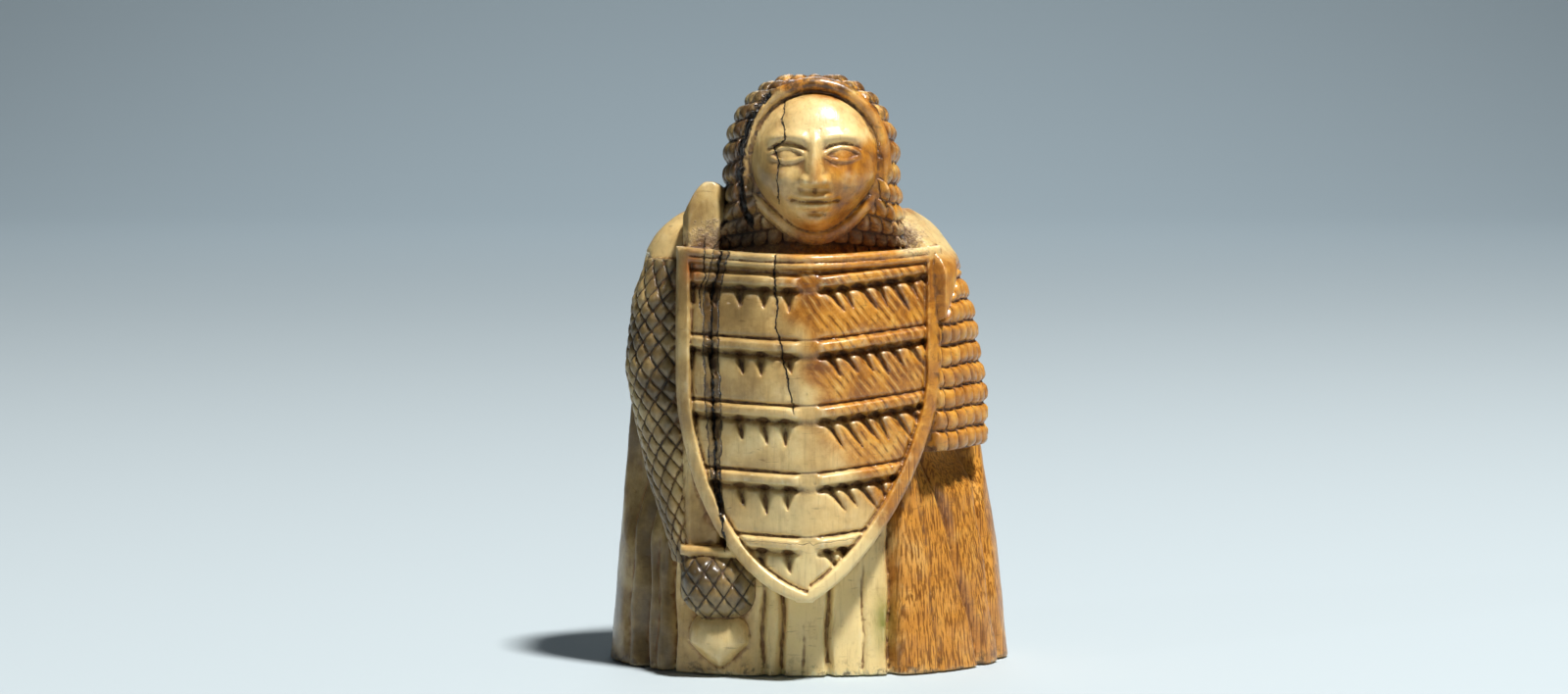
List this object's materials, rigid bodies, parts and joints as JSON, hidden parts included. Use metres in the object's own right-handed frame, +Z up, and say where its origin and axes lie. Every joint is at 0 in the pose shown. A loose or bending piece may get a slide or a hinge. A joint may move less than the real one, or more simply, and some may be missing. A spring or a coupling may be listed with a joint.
{
  "type": "medieval chess piece",
  "caption": "Carved walrus-ivory chess piece of a mail-hooded foot soldier standing behind a keeled shield, with a sword held upright and a flat underside.",
  "frame": {"origin": "middle of the flat underside", "axes": "+Z up through the head; the soldier looks along -Y; +X is towards the soldier's left arm"},
  "size_m": [0.0407, 0.0303, 0.0594],
  "materials": {
    "walrus_ivory": "polished by handling, with brown staining and dirt in the cuts"
  },
  "bodies": {
    "root": {"foot_soldier": "walrus_ivory"}
  },
  "joints": []
}
